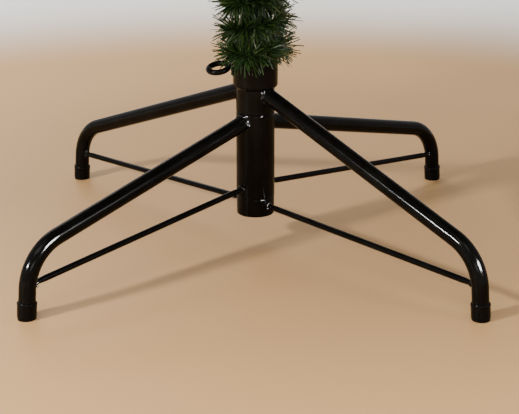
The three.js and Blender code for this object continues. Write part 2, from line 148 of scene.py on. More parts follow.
class Finish:
    """A material with one Principled shader, and the nodes that feed it."""

    def __init__(self, name, **constants):
        self.material = bpy.data.materials.new(name)
        self.material.use_nodes = True
        self.nodes = self.material.node_tree.nodes
        self.links = self.material.node_tree.links
        self.shader = self.nodes["Principled BSDF"]
        for socket, value in constants.items():
            self.shader.inputs[socket.replace("_", " ")].default_value = value
        self.place = self.node("ShaderNodeTexCoord", output="Object")

    def node(self, kind, settings=None, sockets=None, output=0):
        """Adds any node: first its settings, then the values or links of its sockets."""
        node = self.nodes.new(kind)
        for name, value in (settings or {}).items():
            if name == "stops":
                self._set_stops(node.color_ramp, value)
            else:
                setattr(node, name, value)
        for name, value in (sockets or {}).items():
            if isinstance(value, Socket):
                self.links.new(value.output, node.inputs[name])
            else:
                node.inputs[name].default_value = value
        return Socket(self, node.outputs[output])

    def _set_stops(self, ramp, stops):
        while len(ramp.elements) < len(stops):
            ramp.elements.new(1)
        for element, (position, shade) in zip(ramp.elements, stops):
            element.position = position
            element.color = (shade, shade, shade, 1)

    def noise(self, scale, detail=2, rough=0.5):
        """Noise from 0 to 1; scale counts its blotches in a metre."""
        return self.node(
            "ShaderNodeTexNoise",
            None,
            {"Vector": self.place, "Scale": scale, "Detail": detail, "Roughness": rough},
        )

    def ramp(self, value, *stops):
        return self.node("ShaderNodeValToRGB", {"stops": stops}, {"Fac": value})

    def mix(self, share, first, second):
        return self.node(
            "ShaderNodeMix",
            {"data_type": "RGBA"},
            {"Factor": share, 6: (*first, 1), 7: (*second, 1)},
            output=2,
        )

    def feed(self, socket, value):
        self.links.new(value.output, self.shader.inputs[socket])

    def bump(self, height, depth):
        """Raises the surface by height times depth, in metres."""
        self.feed("Normal", self.node("ShaderNodeBump", None, {"Height": height, "Distance": depth}))


# %% [markdown]
# The stand is steel tube under a thick gloss black coat. Three things make black paint
# look real: a faint orange peel that breaks up the edges of reflections, a roughness that
# wanders a little, and a thin haze of dust, which greys it. Its specular level is set low,
# so that it stays as black as the photo's and only the lamps draw streaks along it.

# %% Gloss black paint
def paint_finish(name, dark, dusty, gloss, dull, peel):
    """Paint on steel: dark and dusty shades, the two ends of its roughness, and its peel."""
    paint = Finish(name, Specular_IOR_Level=0.06)
    haze = paint.ramp(paint.noise(38, 4, 0.6), (0.42, 0), (0.75, 1))
    paint.feed("Base Color", paint.mix(haze, dark, dusty))
    paint.feed("Roughness", gloss + (dull - gloss) * haze)
    paint.bump(paint.noise(520, 1), peel)
    return paint.material


STAND_BLACK = (0.0025, 0.0022, 0.0018)
stand_paint = paint_finish(
    "stand_paint", STAND_BLACK, (0.0052, 0.0047, 0.004), 0.1, 0.15, 0.00002
)
pole_paint = paint_finish(
    "pole_paint", (0.005, 0.012, 0.005), (0.013, 0.022, 0.012), 0.3, 0.45, 0.00008
)

# %% [markdown]
# Weld beads are painted over with the rest, but the paint runs thin on their crests and
# they are shinier than the tube. Their lumps do the work: each turns one spot to the lamp.

# %% Paint on the welds
weld_gloss = Finish("weld_paint", Specular_IOR_Level=0.16, Roughness=0.11)
spatter = weld_gloss.ramp(weld_gloss.noise(700, 3, 0.6), (0.5, 0), (0.75, 1))
weld_gloss.feed("Base Color", weld_gloss.mix(spatter, STAND_BLACK, (0.01, 0.009, 0.008)))
weld_gloss.bump(weld_gloss.noise(900, 2), 0.00025)
weld_paint = weld_gloss.material

# %% [markdown]
# The feet wear moulded caps of soft black plastic. Moulded plastic has a fine spark-eroded
# grain and no coat, so the same noise is used at a much smaller scale with a rougher base.

# %% Moulded plastic
plastic = Finish("foot_plastic", Specular_IOR_Level=0.06)
scuff = plastic.ramp(plastic.noise(160, 5, 0.7), (0.55, 0), (0.72, 1))
plastic.feed("Base Color", plastic.mix(scuff, (0.0028, 0.0026, 0.0023), (0.007, 0.0065, 0.006)))
plastic.feed("Roughness", 0.2 + 0.2 * scuff)
plastic.bump(plastic.noise(2600, 2), 0.00004)
foot_plastic = plastic.material

# %% [markdown]
# The needles are cut from dark green film. There are far too many for a pattern on each,
# so plain tones are dealt out: four greens to the sprays, and a pale fifth that only the
# garland has, a painted glint on a few needles. All have enough gloss for the pale glints
# that cut film gives. The wires are wrapped in the same film, twisted tight.

# %% Needle film and wrapped wire
GREENS = 4  # the first of the tones; the last is the garland's pale one
NEEDLE_TONES = [
    (0.015, 0.035, 0.008),
    (0.027, 0.059, 0.012),
    (0.044, 0.088, 0.018),
    (0.017, 0.05, 0.015),
    # the pale tone is a painted glint, dealt to a few of the garland's needles
    (0.14, 0.18, 0.1),
]
needle_films = [
    Finish(f"needle_film_{number + 1}", Base_Color=(*tone, 1), Roughness=0.27).material
    for number, tone in enumerate(NEEDLE_TONES)
]

wire = Finish("branch_wire")
wear = wire.ramp(wire.noise(240, 3), (0.45, 0), (0.7, 1))
wire.feed("Base Color", wire.mix(wear, (0.011, 0.026, 0.009), (0.026, 0.042, 0.017)))
wire.feed("Roughness", 0.45 + 0.2 * wear)
wire.bump(wire.noise(1500, 2), 0.00015)
branch_wire = wire.material

# %% [markdown]
# Every new piece is finished in the same few steps. Its object has to sit at the origin
# with its place in its mesh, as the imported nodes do, so transforms are applied. Faces are
# turned outwards, flat and round stretches are told apart by angle, and the piece is then
# given its finish, rides on the one body and stands for its node.

# %% How a piece is begun and finished
def lerp(a, b, share):
    return a + (b - a) * share


def edit(select="SELECT"):
    """Opens the active piece in edit mode with everything selected, or nothing."""
    bpy.ops.object.mode_set(mode="EDIT")
    bpy.ops.mesh.select_all(action=select)


def only(piece):
    """Makes this piece the only one selected."""
    if bpy.context.object and bpy.context.object.mode == "EDIT":
        bpy.ops.object.mode_set(mode="OBJECT")
    bpy.ops.object.select_all(action="DESELECT")
    piece.select_set(True)
    bpy.context.view_layer.objects.active = piece
    return piece


def settle(piece):
    """Moves the object's place and turn into its mesh."""
    only(piece)
    bpy.ops.object.transform_apply(location=True, rotation=True, scale=True)
    return piece


def modify(piece, kind, **settings):
    """Adds a modifier with these settings and applies it."""
    only(piece)
    modifier = piece.modifiers.new(kind.title(), kind)
    for name, value in settings.items():
        setattr(modifier, name, value)
    bpy.ops.object.modifier_apply(modifier=modifier.name)
    return piece


def tidy_mesh(piece, smooth_under=40):
    """Merges doubled points, turns the faces outwards and smooths the round stretches."""
    settle(piece)
    edit()
    bpy.ops.mesh.remove_doubles(threshold=1e-6)
    bpy.ops.mesh.normals_make_consistent(inside=False)
    bpy.ops.object.mode_set(mode="OBJECT")
    bpy.ops.object.shade_smooth_by_angle(angle=math.radians(smooth_under))
    return piece


def dress(piece, name, material, slot, *nodes):
    """Names a finished piece, gives it its finish and ties it to the frame."""
    piece.name = piece.data.name = name
    if material:
        piece.data.materials.clear()
        piece.data.materials.append(material)
    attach(piece, "root")
    if nodes:
        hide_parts(*nodes)


def copy_round(piece, azimuth):
    """A copy with its own mesh, turned about the pole."""
    twin = piece.copy()
    twin.data = piece.data.copy()
    bpy.context.collection.objects.link(twin)
    twin.rotation_euler.z = azimuth
    return settle(twin)


# %% [markdown]
# Tubes, cups and rings are turned shapes. On a lathe they would be cut to a profile. Here
# a round face is drawn out ring by ring: each step is one extrude and one resize, and as
# a lone face keeps its place when it is extruded, the shape stays closed at both ends.
# Smooth shading blends a rounded edge into the long face beside it, and the tube would
# seem to bulge there, so each long stretch gets a holding ring near both of its ends.

# %% A turned shape, drawn out ring by ring
def held(profile, hold=0.7 * MM):
    """The profile with holding rings near the ends of its long stretches."""
    rings = profile[:1]
    for (low_r, low), (high_r, high) in zip(profile, profile[1:]):
        run = math.hypot(high_r - low_r, high - low)
        if run > 4 * hold:
            for share in (hold / run, 1 - hold / run):
                rings.append((lerp(low_r, high_r, share), lerp(low, high, share)))
        rings.append((high_r, high))
    return rings


def turned(profile, sides, edge=0):
    """A closed turned shape from pairs of radius and height; edge rounds its sharp edges."""
    profile = held(profile)
    radius, height = profile[0]
    bpy.ops.object.select_all(action="DESELECT")
    bpy.ops.mesh.primitive_circle_add(
        vertices=sides, radius=radius, location=(0, 0, height), fill_type="NGON"
    )
    edit()
    for next_radius, next_height in profile[1:]:
        bpy.ops.mesh.extrude_region_move(
            TRANSFORM_OT_translate={"value": (0, 0, next_height - height)}
        )
        growth = next_radius / radius
        bpy.ops.transform.resize(value=(growth, growth, 1))
        radius, height = next_radius, next_height
    piece = tidy_mesh(bpy.context.object)
    if edge:
        modify(
            piece, "BEVEL", width=edge, segments=2, limit_method="ANGLE", angle_limit=math.radians(35)
        )
    return piece


# %% [markdown]
# The hub is two tubes, one inside the other. The inner one shows as a ring under the
# sleeve, and again above it, where it swells to carry the upper legs and widens into the
# cup that the pole stands in. The pole hides its bore, so only the cup's lip is turned.

# %% Hub: inner tube with its cup
TUBE_R = 19.3 * MM
RING_R = 20.2 * MM
SLEEVE_R = 20.5 * MM
CUP_R = 23.7 * MM
POLE_R = 16 * MM
tube_low, tube_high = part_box("stand_tube")
sleeve_low, sleeve_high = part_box("stand_sleeve")
CUP_FOOT = 170.5 * MM
CUP_CHAMFER = 3.3 * MM

hub_tube = turned(
    [
        (RING_R - 2.5 * MM, tube_low.z),
        (RING_R - 0.5 * MM, tube_low.z + 0.3 * MM),
        (RING_R, tube_low.z + 1.2 * MM),
        (RING_R, sleeve_low.z - 1 * MM),
        (RING_R - 0.5 * MM, sleeve_low.z - 0.3 * MM),
        (TUBE_R, sleeve_low.z - 0.2 * MM),
        (TUBE_R, sleeve_high.z + 0.2 * MM),
        (SLEEVE_R - 0.5 * MM, sleeve_high.z + 0.3 * MM),
        (SLEEVE_R, sleeve_high.z + 1.2 * MM),
        (SLEEVE_R, CUP_FOOT),
        (CUP_R - 0.3 * MM, CUP_FOOT + CUP_CHAMFER),
        (CUP_R, CUP_FOOT + CUP_CHAMFER + 1.2 * MM),
        (CUP_R, tube_high.z - 1 * MM),
        (CUP_R - 1 * MM, tube_high.z),
        (POLE_R + 0.5 * MM, tube_high.z),
        (POLE_R + 0.3 * MM, tube_high.z - 8 * MM),
    ],
    64,
)
dress(hub_tube, "hub_tube", stand_paint, "stand_paint", "stand_tube")

# %% Hub: sleeve that carries the lower legs
# Its ends were cut with a tube cutter, which rolls the edge in a little.
sleeve = turned(
    [
        (TUBE_R + 0.1 * MM, sleeve_low.z),
        (SLEEVE_R - 0.5 * MM, sleeve_low.z),
        (SLEEVE_R, sleeve_low.z + 0.8 * MM),
        (SLEEVE_R, sleeve_high.z - 0.9 * MM),
        (SLEEVE_R - 0.6 * MM, sleeve_high.z),
        (TUBE_R + 0.1 * MM, sleeve_high.z),
    ],
    64,
)
dress(sleeve, "hub_sleeve", stand_paint, "stand_paint", "stand_sleeve")

# %% [markdown]
# Each leg is one tube with one bend. It is modelled as it was made: a round blank is
# pushed straight, spun about the bender's centre, and pushed straight again to the floor.
# The two pairs leave the hub at different heights, and on the lower pair the back leg was
# welded on a little below the front one, so three kinds are modelled and then copied.

# %% Legs
LEG_R = 8.4 * MM
FOOT_RADIUS = 304.5 * MM
BEND_R = 50 * MM
SHIN_LEAN = math.radians(5.1)
CAP_FLOOR = 3 * MM
INTO_HUB = 9 * MM
LEG_KINDS = {
    "upper": {"hub": 164.6 * MM, "slope": 0.368, "brace": 43.4 * MM, "brace_r": RING_R},
    "lower": {"hub": 134.7 * MM, "slope": 0.2535, "brace": 62.2 * MM, "brace_r": SLEEVE_R},
    "low_back": {"hub": 130.5 * MM, "slope": 0.238, "brace": 62.2 * MM, "brace_r": SLEEVE_R},
}
CORNERS = [
    ("front_right", "upper", -TAU / 8),
    ("back_right", "low_back", TAU / 8),
    ("back_left", "upper", 3 * TAU / 8),
    ("front_left", "lower", 5 * TAU / 8),
]


def leg_line(kind):
    """The corners of a leg's middle line, in the plane of X and Z."""
    fall = math.atan(kind["slope"])
    turn = TAU / 4 - fall - SHIN_LEAN
    down = Vector((math.cos(fall), 0, -math.sin(fall)))
    shin = Vector((math.sin(SHIN_LEAN), 0, -math.cos(SHIN_LEAN)))
    lean = math.tan(SHIN_LEAN)
    height = (kind["hub"] - kind["slope"] * (FOOT_RADIUS - SLEEVE_R)) / (1 - kind["slope"] * lean)
    corner = Vector((FOOT_RADIUS - lean * height, 0, height))
    tangent = BEND_R * math.tan(turn / 2)
    bend_start = corner - down * tangent
    return {
        "hub_end": Vector((SLEEVE_R - INTO_HUB, 0, kind["hub"] + INTO_HUB * kind["slope"])),
        "bend_start": bend_start,
        "bend_middle": bend_start + BEND_R * Vector((-math.sin(fall), 0, -math.cos(fall))),
        "bend_end": corner + shin * tangent,
        "foot": Vector((FOOT_RADIUS, 0, 0)) - shin * (CAP_FLOOR + 0.3 * MM),
        "fall": fall,
        "turn": turn,
    }


def leg_piece(kind):
    line = leg_line(kind)
    bpy.ops.object.select_all(action="DESELECT")
    bpy.ops.mesh.primitive_circle_add(
        vertices=32,
        radius=LEG_R,
        location=line["hub_end"],
        rotation=(0, TAU / 4 + line["fall"], 0),
        fill_type="NGON",
    )
    edit()
    bpy.ops.mesh.extrude_region_move(
        TRANSFORM_OT_translate={"value": line["bend_start"] - line["hub_end"]}
    )
    # With no window the spin runs against the right-hand rule, so its angle is negative.
    bpy.ops.mesh.spin(
        steps=18, angle=-line["turn"], center=line["bend_middle"], axis=(0, 1, 0)
    )
    bpy.ops.mesh.extrude_region_move(
        TRANSFORM_OT_translate={"value": line["foot"] - line["bend_end"]}
    )
    return tidy_mesh(bpy.context.object)


legs = {name: leg_piece(kind) for name, kind in LEG_KINDS.items()}
for corner, kind_name, azimuth in CORNERS:
    leg = copy_round(legs[kind_name], azimuth)
    dress(leg, f"leg_tube_{corner}", stand_paint, "stand_paint", f"leg_{corner}")
    print(leg.name, len(leg.data.polygons), "faces")
for leg in legs.values():
    bpy.data.objects.remove(leg)

# %% [markdown]
# A thin rod braces each leg low down. A rod alone would look too clean: real ones are cut
# by hand and welded a little off square, with a drop of weld at each end. The rod is a
# cylinder with a ring or two added near its ends, where it was nipped flatter to be welded.

# %% Braces
BRACE_R = 3.2 * MM
BRACE_FOOT = 33.3 * MM


def brace_ends(kind):
    foot = Vector((FOOT_RADIUS - math.tan(SHIN_LEAN) * BRACE_FOOT - LEG_R, 0, BRACE_FOOT))
    return Vector((kind["brace_r"], 0, kind["brace"])), foot


def brace_piece(kind):
    start, end = brace_ends(kind)
    along = (end - start).normalized()
    start, end = start - along * 2 * MM, end + along * 2 * MM
    bpy.ops.object.select_all(action="DESELECT")
    bpy.ops.mesh.primitive_cylinder_add(
        vertices=16,
        radius=BRACE_R,
        depth=(end - start).length,
        location=(start + end) / 2,
        rotation=along.to_track_quat("Z", "Y").to_euler(),
    )
    piece = settle(bpy.context.object)
    # Rings are cut across near the ends, and the end faces are then pressed flatter.
    for share in (0.02, 0.05, 0.95, 0.98):
        edit()
        bpy.ops.mesh.bisect(plane_co=start.lerp(end, share), plane_no=along)
        bpy.ops.object.mode_set(mode="OBJECT")
    length = (end - start).length
    for vertex in piece.data.vertices:
        run = (vertex.co - start).dot(along)
        if min(run, length - run) < 0.03 * length:
            vertex.co.z = start.lerp(end, run / length).z + 0.78 * (
                vertex.co.z - start.lerp(end, run / length).z
            )
    return tidy_mesh(piece)


# %% [markdown]
# Every joint of the stand is welded, and the glints in the photo come from those beads.
# A weld is a row of drops that melted into each other. So drops are laid as small
# spheres along the joint, a voxel remesh melts them together, and a smooth pass lets them
# sag. Their sizes vary, as a hand weld's do, and the numbers come from a fixed seed.

# %% Weld beads
def leg_joint(kind, count=24):
    """Points round the curve where a leg's tube meets the hub's."""
    fall = math.atan(kind["slope"])
    points = []
    for step in range(count):
        angle = TAU * step / count
        aside = LEG_R * math.sin(angle)
        out = math.sqrt(SLEEVE_R**2 - aside**2)
        run = (out - SLEEVE_R - LEG_R * math.cos(angle) * math.sin(fall)) / math.cos(fall)
        height = kind["hub"] + LEG_R * math.cos(angle) * math.cos(fall) - run * math.sin(fall)
        points.append(Vector((out, aside, height)))
    return points


def ring_points(middle, along, radius, count):
    """Points on a circle round a line."""
    side = along.orthogonal().normalized()
    other = along.cross(side).normalized()
    angles = [TAU * step / count for step in range(count)]
    return [middle + radius * (math.cos(a) * side + math.sin(a) * other) for a in angles]


def weld_piece(beads, seed):
    """One weld mesh from (points, drop radius) pairs."""
    random = np.random.default_rng(seed)
    bpy.ops.object.select_all(action="DESELECT")
    bpy.ops.mesh.primitive_ico_sphere_add(subdivisions=2, radius=beads[0][1], location=beads[0][0][0])
    piece = settle(bpy.context.object)
    edit("DESELECT")
    for points, radius in beads:
        for point in points:
            jitter = Vector(random.normal(0, 0.16 * radius, 3))
            bpy.ops.mesh.primitive_ico_sphere_add(
                subdivisions=2, radius=radius * random.uniform(0.65, 1.25), location=point + jitter
            )
    bpy.ops.object.mode_set(mode="OBJECT")
    modify(piece, "REMESH", mode="VOXEL", voxel_size=0.5 * MM)
    modify(piece, "SMOOTH", factor=0.5, iterations=1)
    only(piece)
    bpy.ops.object.shade_smooth()
    return piece


braces = {name: brace_piece(kind) for name, kind in LEG_KINDS.items()}
for number, (corner, kind_name, azimuth) in enumerate(CORNERS):
    kind = LEG_KINDS[kind_name]
    hub_end, leg_end = brace_ends(kind)
    along = (leg_end - hub_end).normalized()
    dress(
        copy_round(braces[kind_name], azimuth),
        f"brace_rod_{corner}", stand_paint, "stand_paint", f"brace_{corner}",
    )
    beads = [
        (leg_joint(kind), 1.6 * MM),
        (leg_joint(kind, 11), 2.1 * MM),
        (ring_points(hub_end + along * 0.8 * MM, along, 3.6 * MM, 9), 1.7 * MM),
        (ring_points(leg_end - along * 0.8 * MM, along, 3.4 * MM, 8), 1.5 * MM),
    ]
    weld = weld_piece(beads, seed=40 + number)
    weld.rotation_euler.z = azimuth
    dress(settle(weld), f"welds_{corner}", weld_paint, "stand_paint")
    print(weld.name, len(weld.data.polygons), "faces")
for brace in braces.values():
    bpy.data.objects.remove(brace)

# The tube's lower end was closed by a disc, tacked in with a ragged bead.
rim = ring_points(Vector((0, 0, tube_low.z + 1.5 * MM)), UP, RING_R - 1.4 * MM, 36)
dress(weld_piece([(rim, 1.5 * MM)], seed=60), "welds_tube_end", weld_paint, "stand_paint")

# %% [markdown]
# A foot cap is pushed over the end of each leg. It is turned upright first, with the thick
# rim and the slight draft that let it leave its mould, then leaned to match the shin. A
# bisect through the floor then cuts it level, with the cut filled, so that it stands flat.

# %% Foot caps
CAP_R = 9.6 * MM
CAP_LENGTH = 17 * MM
cap = turned(
    [
        (CAP_R - 1.2 * MM, -CAP_FLOOR),
        (CAP_R - 0.5 * MM, 1.2 * MM),
        (CAP_R - 0.2 * MM, 2.6 * MM),
        (CAP_R - 0.1 * MM, CAP_LENGTH - 3.4 * MM),
        (CAP_R + 0.15 * MM, CAP_LENGTH - 2.8 * MM),
        (CAP_R + 0.15 * MM, CAP_LENGTH - 1 * MM),
        (CAP_R - 0.5 * MM, CAP_LENGTH),
        (LEG_R + 0.1 * MM, CAP_LENGTH),
        (LEG_R + 0.1 * MM, CAP_LENGTH - 3 * MM),
    ],
    40,
    edge=0.0003,
)
cap.rotation_euler.y = -SHIN_LEAN
settle(cap)
edit()
bpy.ops.mesh.bisect(plane_co=(0, 0, 0), plane_no=(0, 0, 1), use_fill=True, clear_inner=True)
bpy.ops.object.mode_set(mode="OBJECT")
cap.location.x = FOOT_RADIUS
tidy_mesh(cap)
for corner, _, azimuth in CORNERS:
    dress(
        copy_round(cap, azimuth),
        f"cap_{corner}", foot_plastic, "foot_plastic", f"foot_cap_{corner}",
    )
bpy.data.objects.remove(cap)

# %% [markdown]
# The lock screw clamps the pole. Its head is an eye, bent from the same rod, so it is a
# torus melted together with a short cylinder. A six-sided nut is welded to the cup, a
# little out of level, and the beads round it hide half of the nut.

# %% Lock screw and its nut
SCREW_HEIGHT = 196.8 * MM  # where its line meets the pole axis
SCREW_AZIMUTH = math.radians(180)
SCREW_PITCH = math.radians(8)  # down towards the eye
SCREW_ROLL = math.radians(-13)  # as it was last turned
SCREW_R = 3.1 * MM
EYE_R = 10.5 * MM
NUT_FACE = CUP_R + 1.6 * MM
SHANK_LENGTH = 3.1 * MM
eye_middle = NUT_FACE + SHANK_LENGTH + EYE_R


def at_the_screw(piece):
    """Turns a piece that lies along +X to where the lock screw is."""
    piece.rotation_euler = (SCREW_ROLL, SCREW_PITCH, SCREW_AZIMUTH)
    piece.location = (0, 0, SCREW_HEIGHT)
    return settle(piece)


bpy.ops.object.select_all(action="DESELECT")
bpy.ops.mesh.primitive_torus_add(
    location=(eye_middle, 0, 0), major_radius=EYE_R, minor_radius=SCREW_R,
    major_segments=56, minor_segments=18,
)
screw = settle(bpy.context.object)
edit("DESELECT")
bpy.ops.mesh.primitive_cylinder_add(
    vertices=18, radius=SCREW_R, depth=12 * MM,
    location=(eye_middle - EYE_R - 4 * MM, 0, 0), rotation=(0, TAU / 4, 0),
)
bpy.ops.object.mode_set(mode="OBJECT")
modify(screw, "REMESH", mode="VOXEL", voxel_size=0.4 * MM)
modify(screw, "SMOOTH", factor=0.5, iterations=3)
bpy.ops.object.shade_smooth()
dress(at_the_screw(screw), "lock_screw_eye", stand_paint, "stand_paint", "lock_screw")

bpy.ops.object.select_all(action="DESELECT")
bpy.ops.mesh.primitive_cylinder_add(
    vertices=6, radius=8 * MM, depth=7 * MM,
    location=(NUT_FACE - 3.6 * MM, 0, 0), rotation=(0, TAU / 4, 0),
)
nut = settle(bpy.context.object)
modify(nut, "BEVEL", width=0.8 * MM, segments=3, limit_method="ANGLE")
dress(at_the_screw(tidy_mesh(nut)), "lock_nut", stand_paint, "stand_paint")

nut_beads = [
    (ring_points(Vector((CUP_R - 0.6 * MM, 0, 0)), Vector((1, 0, 0)), 9.4 * MM, 26), 2.2 * MM),
    (ring_points(Vector((CUP_R + 0.9 * MM, 0, 0)), Vector((1, 0, 0)), 8 * MM, 22), 1.6 * MM),
]
nut_weld = weld_piece(nut_beads, seed=50)
dress(at_the_screw(nut_weld), "welds_lock_nut", weld_paint, "stand_paint")

# %% [markdown]
# The crown follows one rule, and the scene has to grow along the same lines as the solids
# do. Tiers of branches climb the pole. Each lies between two under surfaces that start at
# the pole and rise outwards, and is shared out in slices. In each slice a stem forks into
# limbs that reach out to the crown's cone, and each limb carries a toothed spray.

# %% The crown's rule: sizes
TREE_HEIGHT = 1.8
CROWN_RADIUS = 0.56
CROWN_SKIRT = 0.39
GAP = 0.3 * MM
POLE_SECTIONS = [(0.016, 0.7), (0.0125, 1.23), (0.0095, 1.56)]  # radius, top
HOLDER_WIDTH = 7 * MM
TIERS = [  # foot, rise, masses, turn
    (0.3, 0.165, 6, 0),
    (0.49, 0.21, 5, 0.2),
    (0.675, 0.26, 5, 0.7),
    (0.85, 0.32, 4, 0.3),
    (1.015, 0.39, 4, 0.8),
    (1.17, 0.47, 4, 0.2),
    (1.315, 0.56, 4, 0.65),
    (1.45, 0.67, 4, 0.1),
    (1.575, 0.8, 0, 0),
]
BOUGH_END = 110 * MM  # of the lowest tier's boughs
FULL_TIERS = 5
FULL_LIMBS = [(0.24, -0.32), (0.3, 0.13), (0.74, -0.13), (0.7, 0.32)]  # share, turn
SHORT_LIMBS = [(0.24, -0.3), (0.34, 0.3), (0.78, 0)]
FORK_AT = 0.14
STEM_R = 4.2 * MM
LIMB_R = 3 * MM
BOUGH_R = 5.5 * MM
SPACE_MARGIN = 4 * MM
INNER_MARGIN = 12 * MM
LIMB_TEETH = [(0.38, 1), (0.64, 0.98), (0.85, 0.62)]
LIMB_NOTCHES = [(0.27, 0.2), (0.51, 0.2), (0.75, 0.14)]
LIMB_RIDGE = [0.12, 0.33, 0.56]
LIMB_SPREAD = 0.26
SPRAY_ROLL = 1.4
SPRAY_ROOT = 0.28

# %% The crown's rule: places
def seeded_stream(seed):
    """The repeatable numbers that the solids were grown with."""
    state = (seed * 7919 + 12345) % 2147483647

    def draw():
        nonlocal state
        state = (state * 48271) % 2147483647
        return state / 2147483647

    return draw


def polar(radius, azimuth, height):
    return Vector((radius * math.cos(azimuth), radius * math.sin(azimuth), height))


def holder_height(tier):
    return (TIERS[tier][0] + TIERS[tier + 1][0]) / 2


def pole_radius(height):
    return next(radius for radius, top in POLE_SECTIONS if height < top)


def holder_rim(tier):
    return pole_radius(holder_height(tier)) + HOLDER_WIDTH + GAP


def middle_rise(tier):
    return (TIERS[tier][1] + TIERS[tier + 1][1]) / 2


def on_middle_line(tier, azimuth, radius):
    return polar(radius, azimuth, holder_height(tier) + middle_rise(tier) * radius)


def limb_tip(tier, azimuth, share):
    """Where a limb of a tier meets the crown's cone."""
    foot = lerp(TIERS[tier][0], TIERS[tier + 1][0], share)
    rise = lerp(TIERS[tier][1], TIERS[tier + 1][1], share)
    flare = CROWN_RADIUS / (TREE_HEIGHT - CROWN_SKIRT)
    radius = flare * (TREE_HEIGHT - foot) / (1 + flare * rise)
    return polar(radius, azimuth, foot + rise * radius)


def in_space(point, tier, azimuth):
    """Whether a point is in a mass's own slice of its tier."""
    radius = math.hypot(point.x, point.y)
    half = math.pi / TIERS[tier][2]
    off = abs((math.atan2(point.y, point.x) - azimuth + math.pi) % TAU - math.pi)
    low = TIERS[tier][0] + radius * TIERS[tier][1]
    high = TIERS[tier + 1][0] + radius * TIERS[tier + 1][1]
    return (
        radius > holder_rim(tier) + INNER_MARGIN
        and off < half
        and radius * math.sin(half - off) > SPACE_MARGIN
        and low + SPACE_MARGIN < point.z < high - SPACE_MARGIN
    )


def rolled_up(along, roll):
    """The direction square to a limb that points most nearly up, rolled about the limb."""
    side = UP.cross(along).normalized()
    return Matrix.Rotation(roll, 3, along) @ along.cross(side)


# %% The crown's rule: limbs
def limb_frame(along, flat, root, length, width):
    """Places of a spray: x along it, y across in half widths, z above it in metres."""
    side = flat.cross(along).normalized()
    level = along.cross(side)
    return lambda x, y, z=0.0: root + along * x * length + side * y * width / 2 + level * z


def limbs_of(tier, index):
    """The limbs of a mass: where each forks off, its tip, and the frame of its spray."""
    draw = seeded_stream(100 * (tier + 1) + index)
    _, _, masses, turned_by = TIERS[tier]
    azimuth = TAU * (index + turned_by) / masses
    start_r = holder_rim(tier) + STEM_R * middle_rise(tier) if tier else BOUGH_END + GAP
    stem = on_middle_line(tier, azimuth, start_r)
    fork = stem.lerp(limb_tip(tier, azimuth, 0.5), FORK_AT)
    limbs = []
    for share, turn in FULL_LIMBS if tier < FULL_TIERS else SHORT_LIMBS:
        around = azimuth + (turn + (draw() - 0.5) * 0.05) * TAU / masses
        reached = limb_tip(tier, around, share + (draw() - 0.5) * 0.06)
        tip = fork.lerp(reached, 1 - 0.05 * draw())
        along = (tip - fork).normalized()
        flat = rolled_up(along, (draw() - 0.5) * SPRAY_ROLL)
        root = fork.lerp(tip, SPRAY_ROOT)
        length = (1 - SPRAY_ROOT) * (tip - fork).length
        spread = LIMB_SPREAD
        while spread > 0.4 * LIMB_SPREAD:
            place = limb_frame(along, flat, root, length, 2 * spread * length)
            edge = [place(x, s * y) for x, y in LIMB_TEETH + LIMB_NOTCHES for s in (1, -1)]
            if all(in_space(point, tier, azimuth) for point in edge):
                break
            spread *= 0.88
        start = stem.lerp(fork, 0.5 + share / 2)
        limbs.append({"start": start, "fork": fork, "tip": tip, "length": length,
                      "spread": spread, "place": place, "along": along})
    return azimuth, stem, fork, limbs


# %% [markdown]
# The pole is steel tube in three sections, each pushed into the one below, which was
# rolled in at its mouth to grip it. It is drawn out ring by ring like the hub. The holders
# for the branches are moulded rings with a pocket for each branch's hook: a plain ring is
# taken, and every other side face is inset and pushed in.

# %% Pole and branch holders
pole_low, pole_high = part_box("pole")
ROLLED_IN = 6 * MM
profile = [(POLE_R - 1 * MM, pole_low.z), (POLE_R, pole_low.z + 1 * MM)]
for (radius, top), (next_radius, _) in zip(POLE_SECTIONS, POLE_SECTIONS[1:]):
    profile += [
        (radius, top - ROLLED_IN),
        (radius - 0.3 * (radius - next_radius), top - 0.4 * ROLLED_IN),
        (next_radius + 0.6 * MM, top),
        (next_radius, top),
    ]
top_r = POLE_SECTIONS[-1][0]
profile += [(top_r, pole_high.z - 1 * MM), (top_r - 1 * MM, pole_high.z)]
dress(turned(profile, 32), "pole_tube", pole_paint, "pole_paint", "pole")

HOLDER_HEIGHT = 14 * MM
HOLDER_SIDES = 24
for tier in range(len(TIERS) - 1):
    inner = pole_radius(holder_height(tier))
    bpy.ops.object.select_all(action="DESELECT")
    bpy.ops.mesh.primitive_cylinder_add(
        vertices=HOLDER_SIDES, radius=inner + HOLDER_WIDTH, depth=HOLDER_HEIGHT,
        location=(0, 0, holder_height(tier)),
    )
    holder = settle(bpy.context.object)
    edit("DESELECT")
    bpy.ops.object.mode_set(mode="OBJECT")
    for face in holder.data.polygons:
        number = round(math.atan2(face.center.y, face.center.x) / TAU * HOLDER_SIDES)
        face.select = abs(face.normal.z) < 0.5 and number % 2 == 0
    bpy.ops.object.mode_set(mode="EDIT")
    bpy.ops.mesh.inset(thickness=0.7 * MM, depth=-2.5 * MM, use_individual=True)
    bpy.ops.object.mode_set(mode="OBJECT")
    modify(tidy_mesh(holder, 20), "BEVEL", width=0.3 * MM, segments=2, limit_method="ANGLE")
    dress(holder, f"branch_holder_{tier + 1}", foot_plastic, "foot_plastic")

# %% [markdown]
# Wires and needles come in their thousands, far too many to model by hand, so they are
# made as joined meshes from arrays. A wire is a quadratic curve, swept with a tube of three
# to six sides. Its needles leave it all round in a spiral, lean forward, and droop a touch.

